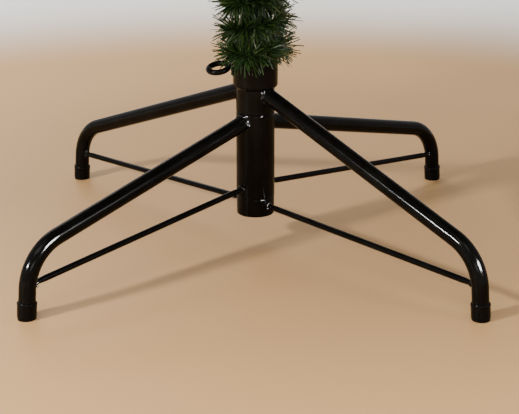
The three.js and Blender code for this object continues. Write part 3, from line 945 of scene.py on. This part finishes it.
# %% Wires as arrays
class Wires:
    """A growing list of curved wires, kept as columns of numbers."""

    def __init__(self):
        self.rows = []

    def add(self, start, end, sag, radii, bare, tone, needle):
        """A wire: its ends, the middle's offset, radii, bare share, tone, needle length."""
        control = (start + end) / 2 + sag
        self.rows.append((*start, *control, *end, *radii, bare, tone, needle))

    def columns(self):
        table = np.array(self.rows)
        return {
            "start": table[:, 0:3], "control": table[:, 3:6], "end": table[:, 6:9],
            "radii": table[:, 9:11], "bare": table[:, 11], "tone": table[:, 12].astype(int),
            "needle": table[:, 13],
        }


def unit(vectors):
    return vectors / np.linalg.norm(vectors, axis=-1, keepdims=True)


def points_on(wires, which, share):
    """Points and directions at these shares of these wires."""
    start, control, end = (wires[k][which] for k in ("start", "control", "end"))
    s = share[:, None]
    point = (1 - s) ** 2 * start + 2 * s * (1 - s) * control + s**2 * end
    along = 2 * (1 - s) * (control - start) + 2 * s * (end - control)
    return point, unit(along)


def across(along):
    """Two directions square to each given one and to each other."""
    helper = np.where(np.abs(along[:, 2:3]) < 0.9, [[0, 0, 1.0]], [[1.0, 0, 0]])
    side = unit(np.cross(along, helper))
    return side, np.cross(along, side)


def array_piece(points, triangles, materials, face_materials=None):
    """A mesh object from arrays of points and triangles."""
    mesh = bpy.data.meshes.new("grown")
    mesh.vertices.add(len(points))
    mesh.vertices.foreach_set("co", points.astype(np.float32).ravel())
    mesh.loops.add(triangles.size)
    mesh.loops.foreach_set("vertex_index", triangles.astype(np.int32).ravel())
    mesh.polygons.add(len(triangles))
    mesh.polygons.foreach_set("loop_start", np.arange(0, triangles.size, 3, dtype=np.int32))
    for material in materials:
        mesh.materials.append(material)
    if face_materials is not None:
        mesh.polygons.foreach_set("material_index", face_materials.astype(np.int32))
    mesh.update(calc_edges=True)
    piece = bpy.data.objects.new("grown", mesh)
    bpy.context.collection.objects.link(piece)
    return piece


def wire_piece(wires, sides, rings=5):
    """All these wires as one mesh of closed, tapering tubes."""
    count = len(wires["start"])
    points = []
    for ring in range(rings):
        share = np.full(count, ring / (rings - 1))
        middle, along = points_on(wires, np.arange(count), share)
        side, other = across(along)
        radius = lerp(wires["radii"][:, 0], wires["radii"][:, 1], share)[:, None]
        for corner in range(sides):
            angle = TAU * corner / sides
            points.append(middle + radius * (math.cos(angle) * side + math.sin(angle) * other))
    points = np.stack(points, 1)
    triangles = []
    for ring in range(rings - 1):
        for a in range(sides):
            b = (a + 1) % sides
            low, high = ring * sides, (ring + 1) * sides
            triangles += [(low + a, high + a, low + b), (low + b, high + a, high + b)]
    last = (rings - 1) * sides
    for corner in range(1, sides - 1):
        triangles += [(0, corner, corner + 1), (last, last + corner + 1, last + corner)]
    every = np.arange(count)[:, None, None] * (rings * sides) + np.array(triangles)[None]
    piece = array_piece(points.reshape(-1, 3), every.reshape(-1, 3), [branch_wire])
    only(piece)
    bpy.ops.object.shade_smooth()
    return piece


# %% Needles as arrays
NEEDLE_WIDTH = 1.6 * MM
GOLDEN = 2.39996  # the turn from each needle to the next
# An outline is pairs of share of the length and of the half width. The crown's needles
# are kites of two faces, and the garland's, which are seen close up, blunt strips of four.
KITE = {"outline": [(0, 0), (0.45, 1), (1, 0)], "faces": [(0, 1, 2), (1, 3, 2)]}
STRIP = {
    "outline": [(0, 0.9), (0.5, 1), (1, 0.8)],
    "faces": [(0, 1, 2), (2, 1, 3), (2, 3, 4), (4, 3, 5)],
}


def needle_piece(root, direction, length, tone, random, shape=KITE, width=NEEDLE_WIDTH, droop=0.07):
    """One mesh of needles, each with a slight bend of its own."""
    count = len(root)
    side = unit(np.cross(direction, random.normal(size=(count, 3))))
    side *= width / 2 * random.uniform(0.75, 1.15, (count, 1))
    length = length[:, None]
    bend = length * (random.normal(0, 0.035, (count, 3)) - [[0, 0, droop]])
    points = []
    for share, breadth in shape["outline"]:
        middle = root + direction * length * share + bend * share**2
        points += [middle - side * breadth, middle + side * breadth] if breadth else [middle]
    points = np.stack(points, 1)
    faces = np.array(shape["faces"])
    triangles = np.arange(count)[:, None, None] * points.shape[1] + faces[None]
    return array_piece(
        points.reshape(-1, 3), triangles.reshape(-1, 3), needle_films, np.repeat(tone, len(faces))
    )


def needles_on(wires, density, random):
    """Roots, directions, lengths and tones of the needles of these wires."""
    size = np.linalg.norm(wires["end"] - wires["start"], axis=1)
    counts = np.maximum(8, (size * (1 - wires["bare"]) * density).astype(int))
    which = np.repeat(np.arange(len(counts)), counts)
    order = np.arange(counts.sum()) - np.repeat(np.cumsum(counts) - counts, counts)
    done = (order + random.random(len(order))) / counts[which]
    share = wires["bare"][which] + (1 - wires["bare"][which]) * done
    root, along = points_on(wires, which, share)
    side, other = across(along)
    around = (order * GOLDEN + random.normal(0, 0.35, len(order)))[:, None]
    lean = (1.12 - 0.55 * done**3 + random.normal(0, 0.14, len(order)))[:, None]
    direction = unit(
        along * np.cos(lean) + (side * np.cos(around) + other * np.sin(around)) * np.sin(lean)
    )
    length = wires["needle"][which] * random.uniform(0.78, 1.08, len(order))
    return root, direction, length, wires["tone"][which]


# %% [markdown]
# The garland at the pole's foot is the one part of the foliage that is seen close up. It
# is twisted wire with needles all round, wound up the pole. Needles that would go into
# the pole are bent aside along it, as the real ones are, and the lowest hang over the cup.

# %% Garland round the foot of the pole
WRAP_FOOT = 210 * MM
WRAP_TOP = 340 * MM
WRAP_PITCH = 28 * MM
WRAP_LEVEL = 0.7  # of a turn, before it climbs
WRAP_R = 22 * MM
WRAP_NEEDLE = 28 * MM
WRAP_NEEDLES = 5200
WRAP_NEEDLE_WIDTH = 1.35 * MM
wrap_turns = WRAP_LEVEL + (WRAP_TOP - WRAP_FOOT) / WRAP_PITCH


def on_helix(share):
    """Points, directions and outward directions along the garland's wire."""
    turn = wrap_turns * share
    angle = TAU * turn
    out = np.stack([np.cos(angle), np.sin(angle), np.zeros_like(angle)], 1)
    ahead = np.stack([-np.sin(angle), np.cos(angle), np.zeros_like(angle)], 1)
    middle = out * WRAP_R
    middle[:, 2] = WRAP_FOOT + WRAP_PITCH * np.maximum(0, turn - WRAP_LEVEL)
    return middle, ahead, out


random = np.random.default_rng(13)
share = (np.arange(WRAP_NEEDLES) + random.random(WRAP_NEEDLES)) / WRAP_NEEDLES
middle, along, out = on_helix(share)
# The short needles stand out all round the wire and hide it, and the long ones fan out.
size = 0.37 + 0.73 * random.beta(1.1, 2.1, WRAP_NEEDLES)
around = random.normal(-0.1, 1.55 - 0.85 * size)[:, None]
lean = random.normal(0.4, 0.36, (WRAP_NEEDLES, 1))
aside = out * np.cos(around) + [[0, 0, 1.0]] * np.sin(around)
direction = along * np.sin(lean) + aside * np.cos(lean)
inward = np.minimum(0, (direction * out).sum(1, keepdims=True) + 0.05)
direction = unit(direction - 1.2 * inward * out)
length = WRAP_NEEDLE * size
# The lowest needles hang down over the cup, a little way off it, and less far to the front
# and the right, where the wire leaves the rim.
reach = middle + direction * length[:, None]
low = (reach[:, 2] < tube_high.z + 4 * MM) & (np.hypot(reach[:, 0], reach[:, 1]) < CUP_R + 4 * MM)
direction = np.where(low[:, None], unit(direction + 0.35 * out), direction)
lowest = 189 * MM + 0.3 * middle[:, 0] - 0.45 * middle[:, 1] - random.uniform(0, 6 * MM, WRAP_NEEDLES)
steepest = np.minimum(0, (lowest - middle[:, 2]) / length)
direction[:, 2] = np.maximum(direction[:, 2], steepest)
direction = unit(direction)
# The garland's needles lean to the darkest greens, partly a painted shade for its place under the crown,
# and a few take the pale tone, a painted glint.
tones = random.choice(5, WRAP_NEEDLES, p=[0.52, 0.24, 0.08, 0.12, 0.04])
garland = needle_piece(
    middle, direction, length, tones, random, STRIP, WRAP_NEEDLE_WIDTH, 0.02
)
dress(garland, "garland_needles", None, "needles", "pole_garland")

core = Wires()
steps = 120
for strand in (0, math.pi):
    spots, _, spread = on_helix(np.linspace(0, 1, steps + 1))
    twist = np.linspace(0, TAU * 30, steps + 1) + strand
    spots = spots + 0.9 * MM * (spread * np.cos(twist)[:, None] + np.sin(twist)[:, None] * [[0, 0, 1]])
    for a, b in zip(spots, spots[1:]):
        core.add(Vector(a), Vector(b), Vector(), (1 * MM, 1 * MM), 0, 0, 0)
dress(wire_piece(core.columns(), rings=2, sides=5), "garland_wire", None, "branch_wire")
print("garland", len(garland.data.polygons), "faces")

# %% [markdown]
# The lowest boughs are stout twisted wire between the holder and the mass. A rod is
# squeezed to an oval, given rings along its length, and turned by a twist modifier, which
# leaves the rope-like relief of two wires wound together.

# %% Boughs
bough_start = on_middle_line(0, 0, holder_rim(0) - 2 * MM)
bough_end = on_middle_line(0, 0, BOUGH_END)
bough_line = bough_end - bough_start
bpy.ops.object.select_all(action="DESELECT")
bpy.ops.mesh.primitive_cylinder_add(vertices=16, radius=BOUGH_R, depth=bough_line.length)
bough = settle(bpy.context.object)
for ring in range(1, 40):
    edit()
    height = (ring / 40 - 0.5) * bough_line.length
    bpy.ops.mesh.bisect(plane_co=(0, 0, height), plane_no=(0, 0, 1))
    bpy.ops.object.mode_set(mode="OBJECT")
for vertex in bough.data.vertices:
    vertex.co.y *= 0.62
modify(bough, "SIMPLE_DEFORM", deform_method="TWIST", deform_axis="Z", angle=TAU * 3)
modify(bough, "SIMPLE_DEFORM", deform_method="TAPER", deform_axis="Z", factor=-0.18)
bough.rotation_euler = bough_line.to_track_quat("Z", "Y").to_euler()
bough.location = (bough_start + bough_end) / 2
tidy_mesh(bough, 60)
for index in range(TIERS[0][2]):
    twin = copy_round(bough, TAU * (index + TIERS[0][3]) / TIERS[0][2])
    name = f"bough_1_{index + 1}"
    dress(twin, f"{name}_wire", branch_wire, "branch_wire", name)
bpy.data.objects.remove(bough)

# %% [markdown]
# Now the crown. Each limb becomes a wire, each tooth of its spray a side tip on the same
# line, and finer tips fill in above and below it. Every tip keeps to its mass's own slice:
# one that would leave it is shortened, and it is left out if it still doesn't fit.

# %% Limbs, side tips and finer tips
TIP_BACK = 20 * MM  # wires end this far inside the reach, as their needles run on
TIP_LENGTH = 90 * MM  # of the tips that fill a mass
NEEDLE_LENGTHS = [36 * MM] * 5 + [33 * MM, 30 * MM, 27 * MM]
FILL_TIPS = [58, 58, 54, 54, 48, 40, 32, 22]  # in a mass of each tier
INNER_TIPS = [18, 20, 18, 18, 16, 14, 12, 9]  # close to the pole


def fitted_end(start, goal, tier, azimuth):
    """The furthest point towards the goal that is in the mass's space, or nothing."""
    for share in (1, 0.85, 0.7, 0.55):
        point = start.lerp(goal, share)
        if in_space(point, tier, azimuth):
            return point
    return None


def grow_limb(wires, limb, tier, azimuth, random):
    """A limb's wire, with its side tips and the finer tips between them."""
    needle = NEEDLE_LENGTHS[tier]
    tone = random.integers(GREENS)
    fork, tip, along, place = (limb[k] for k in ("fork", "tip", "along", "place"))
    end = tip - along * TIP_BACK
    droop = Vector((0, 0, -0.02 * (end - fork).length))
    wires.add(fork, end, droop, (1.6 * MM, 0.9 * MM), 0.16, tone, needle)
    half = limb["spread"] * limb["length"]
    for ridge, (x, y) in zip(LIMB_RIDGE, LIMB_TEETH):
        for side in (1, -1):
            base = place(ridge, 0)
            goals = [
                place(x, side * y, random.uniform(-0.25, 0.25) * half),
                place(x + 0.1, side * 0.3 * y, side * random.uniform(0.45, 0.7) * half),
                place(x - 0.04, side * 0.65 * y, -side * random.uniform(0.35, 0.6) * half),
            ]
            for number, goal in enumerate(goals):
                foot = base + along * (number * 0.06 * limb["length"])
                finish = fitted_end(foot, goal, tier, azimuth)
                if finish is None:
                    continue
                run = finish - foot
                finish = finish - run.normalized() * min(12 * MM, 0.2 * run.length)
                curl = along * -0.12 * run.length
                shade = tone if random.random() < 0.6 else random.integers(GREENS)
                wires.add(foot, finish, curl, (1.1 * MM, 0.7 * MM), 0.04, shade, needle * 0.94)


def between_surfaces(tier, azimuth, share, outwards):
    """A point at a share of a tier's height, and at a share of the way out to the cone."""
    height = lerp(TIERS[tier][0], TIERS[tier + 1][0], share)
    at_pole = polar(holder_rim(tier) + INNER_MARGIN + 6 * MM, azimuth, height)
    return at_pole.lerp(limb_tip(tier, azimuth, share), outwards)


def fill_mass(mass, tier, azimuth, fork, random):
    """Tips spread evenly over a mass, each from a wire that is about a tip's length away."""
    slice_width = TAU / TIERS[tier][2]
    tone = random.integers(GREENS)
    for number in range(FILL_TIPS[tier]):
        wires = mass.columns()
        around = azimuth + ((number * GOLDEN) % 1 - 0.5) * 0.94 * slice_width
        share = 0.06 + 0.88 * (number + 0.5) / FILL_TIPS[tier]
        goal = between_surfaces(tier, around, share, 0.25 + 0.72 * random.random() ** 0.7)
        which = np.tile(np.arange(len(wires["start"])), 3)
        on_wire = np.repeat([0.15, 0.4, 0.65], len(wires["start"]))
        feet, _ = points_on(wires, which, on_wire)
        away = np.linalg.norm(feet - goal, axis=1)
        gain = (goal - fork).length - np.linalg.norm(feet - fork, axis=1)
        cost = np.abs(away - TIP_LENGTH) + np.where(gain < 0.5 * away, 1, 0)
        foot = Vector(feet[cost.argmin()])
        finish = fitted_end(foot, goal, tier, azimuth)
        if finish is None:
            continue
        run = finish - foot
        if run.length > 2 * TIP_LENGTH:
            finish = foot + run * (2 * TIP_LENGTH / run.length)
        curl = UP * random.uniform(-0.1, 0.02) * run.length
        shade = tone if number % 3 else random.integers(GREENS)
        mass.add(foot, finish, curl, (1 * MM, 0.6 * MM), 0.03, shade, 0.9 * NEEDLE_LENGTHS[tier])


def fill_inside(mass, tier, azimuth, stem, fork, random):
    """Tips that leave the stem at steep angles and hide the pole behind it."""
    slice_width = TAU / TIERS[tier][2]
    for number in range(INNER_TIPS[tier]):
        around = azimuth + ((number * GOLDEN) % 1 - 0.5) * 0.96 * slice_width
        share = 0.05 + 0.9 * random.random()
        goal = between_surfaces(tier, around, share, random.uniform(0.02, 0.26))
        foot = stem.lerp(fork, random.uniform(0.05, 0.95))
        finish = fitted_end(foot, goal, tier, azimuth)
        if finish is None:
            continue
        curl = (fork - stem).normalized() * 0.12 * (finish - foot).length
        mass.add(foot, finish, curl, (1.1 * MM, 0.6 * MM), 0.05, random.integers(GREENS), 30 * MM)


stems = Wires()
sprays = {}
random = np.random.default_rng(2024)
for tier in range(len(TIERS) - 1):
    sprays[tier] = []
    for index in range(TIERS[tier][2]):
        azimuth, stem, fork, limbs = limbs_of(tier, index)
        mass = Wires()
        stems.add(stem, fork, Vector(), (STEM_R, STEM_R * 0.85), 0, 0, 0)
        for limb in limbs:
            middle = limb["fork"].lerp(limb["tip"], 0.5)
            stems.add(limb["start"], middle, Vector(), (LIMB_R, LIMB_R * 0.5), 0, 0, 0)
            grow_limb(mass, limb, tier, azimuth, random)
        fill_mass(mass, tier, azimuth, fork, random)
        fill_inside(mass, tier, azimuth, stem, fork, random)
        sprays[tier].append(mass)
twigs = Wires()
twigs.rows = [row for masses in sprays.values() for mass in masses for row in mass.rows]
print("stems", len(stems.rows), "twigs", len(twigs.rows))

# %% [markdown]
# The leader is the upright tip. Its sprays climb round it in a spiral, shorter and steeper
# towards the top, by the same rule and with the same seed as the solid's.

# %% Leader
leader = Wires()
draw = seeded_stream(7)
leader_foot = Vector((0, 0, pole_high.z + GAP))
leader_top = Vector((0, 0, TREE_HEIGHT))
leader.add(
    leader_foot, leader_top - UP * TIP_BACK, Vector(), (3 * MM, 1 * MM), 0.02, 1, 30 * MM
)
for number in range(7):
    share = number / 6
    azimuth = number * 2.4 + draw() * 0.5
    climb = lerp(0.72, 1.05, share)
    along = polar(math.cos(climb), azimuth, math.sin(climb))
    reach = lerp(135, 70, share) * MM
    flat = rolled_up(along, (draw() - 0.5) * SPRAY_ROLL)
    root = leader_foot.lerp(leader_top, 0.04 + 0.4 * share)
    place = limb_frame(along, flat, root, reach, 0.5 * reach)
    tone = random.integers(GREENS)
    leader.add(root, place(0.88, 0), UP * -2 * MM, (1.3 * MM, 0.8 * MM), 0.04, tone, 28 * MM)
    for ridge, (x, y) in zip((0.2, 0.48), ((0.42, 1), (0.76, 0.8))):
        for side in (1, -1):
            leader.add(place(ridge, 0), place(x, side * y), Vector(), (1 * MM, 0.7 * MM), 0, tone, 25 * MM)
twigs.rows += leader.rows

# %% [markdown]
# The stems are joined into one piece and the thinner wires into another. The needles are
# joined by tier, with the three widest tiers in two pieces each, so that each piece stays
# under two hundred thousand triangles.

# %% Join the crown
DENSITY = 1350  # needles in a metre of wire
SPLIT_TIERS = 3
dress(wire_piece(stems.columns(), sides=6), "crown_stems", None, "branch_wire")
dress(wire_piece(twigs.columns(), rings=4, sides=3), "crown_twigs", None, "branch_wire")


def join_needles(name, masses, nodes, density):
    gathered = Wires()
    for mass in masses:
        gathered.rows += mass.rows
    piece = needle_piece(*needles_on(gathered.columns(), density, random), random)
    dress(piece, name, None, "needles", *nodes)
    print(name, len(gathered.rows), "wires", len(piece.data.polygons), "faces")
    return len(piece.data.polygons)


total = join_needles("needles_leader", [leader], ["foliage_leader"], 1.6 * DENSITY)
for tier, masses in sprays.items():
    names = [f"foliage_{tier + 1}_{index + 1}" for index in range(len(masses))]
    halves = 2 if tier < SPLIT_TIERS else 1
    size = math.ceil(len(masses) / halves)
    for half in range(halves):
        part = slice(half * size, (half + 1) * size)
        total += join_needles(
            f"needles_tier_{tier + 1}_{half + 1}", masses[part], names[part], DENSITY
        )
print("needle faces", total)

# %% [markdown]
# The stage is a plain pale floor, warm near the stand and fading to white further off, so
# that no horizon crosses the crown. The crown would shade the stand from a lamp overhead,
# so small lamps to the left and right shine in under it. A tube mirrors a lamp along its
# middle where the lamp and the camera lean equally from it, which is how each front leg
# gets its long streak from the side opposite. Lamps that bright would flood the floor and
# the needles, so the two streak lamps are linked to the painted stand alone and give no
# diffuse light. Large soft lamps light the crown all round.

# %% Floor
WARM_FLOOR = (0.54, 0.315, 0.135)
WHITE_FLOOR = (0.93, 0.92, 0.9)
floor = Finish("floor", Roughness=0.5, Specular_IOR_Level=0.2)
away = floor.node("ShaderNodeVectorMath", {"operation": "LENGTH"}, {0: floor.place}, output=1)
fade = floor.node(
    "ShaderNodeMapRange",
    {"interpolation_type": "SMOOTHSTEP"},
    {"Value": away, "From Min": 0.85, "From Max": 1.45},
)
floor.feed("Base Color", floor.mix(fade, WARM_FLOOR, WHITE_FLOOR))
bpy.ops.object.select_all(action="DESELECT")
bpy.ops.mesh.primitive_circle_add(vertices=96, radius=14, fill_type="NGON", location=(0, 0, 0))
ground = bpy.context.object
ground.name = "floor"
ground.data.materials.append(floor.material)
ground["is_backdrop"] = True


# %% Lights
def lamp(name, place, aim, size, power, tint=(1, 1, 1)):
    """A lamp that shines at a point and doesn't show itself."""
    direction = Vector(aim) - Vector(place)
    bpy.ops.object.light_add(
        type="AREA", location=place, rotation=direction.to_track_quat("-Z", "Y").to_euler()
    )
    light = bpy.context.object
    light.name = name
    light.data.shape = "RECTANGLE"
    light.data.size, light.data.size_y = size
    light.data.energy = power
    light.data.color = tint
    light.visible_camera = False
    return light


painted_stand = bpy.data.collections.new("painted_stand")
for piece in bpy.data.objects:
    if piece.name.startswith(("hub_", "leg_tube_", "brace_rod_", "welds_", "lock_")):
        painted_stand.objects.link(piece)


def streak_lamp(name, place, aim, size, power):
    """A lamp that shines on the stand alone, and shows only where the paint mirrors it."""
    light = lamp(name, place, aim, size, power)
    light.visible_diffuse = False
    light.light_linking.receiver_collection = painted_stand


lamp("left", (-2.0, -1.5, 1.22), (0, 0, 0.12), (0.28, 0.16), 95, (1, 0.97, 0.93))
lamp("right", (2.0, -1.05, 1.05), (0, 0, 0.12), (0.38, 0.22), 8, (1, 0.97, 0.93))
lamp("front", (0.2, -3.0, 1.0), (0, 0, 0.1), (1.0, 0.5), 17, (1, 0.97, 0.93))
lamp("top", (-0.6, -1.6, 3.6), (0, 0, 0.6), (2.6, 2.6), 140, (1, 0.98, 0.95))
lamp("back", (-1.3, 2.6, 2.4), (0, 0, 0.9), (2.0, 1.6), 45)
streak_lamp("left_strip", (-2.05, -1.52, 1.23), (0, 0, 0.12), (0.65, 0.11), 290)
streak_lamp("right_strip", (1.62, -1.5, 1.05), (0, 0, 0.12), (0.8, 0.6), 900)
world = bpy.data.worlds.new("studio")
bpy.context.scene.world = world
world.use_nodes = True
world.node_tree.nodes["Background"].inputs["Color"].default_value = (1, 0.985, 0.96, 1)
world.node_tree.nodes["Background"].inputs["Strength"].default_value = 0.75

# %% [markdown]
# Last, the dressed model's box is printed beside the imported one's, as the difference
# at its low and its high corner, in millimetres. The dressed tree may stand only a
# little proud of the solids, and the frame is closed.

# %% Sizes
visual_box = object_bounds()
for low_or_high, packed, dressed in zip(("low", "high"), cad_box, visual_box):
    print(low_or_high, [round(1000 * (b - a), 1) for a, b in zip(packed, dressed)], "mm")
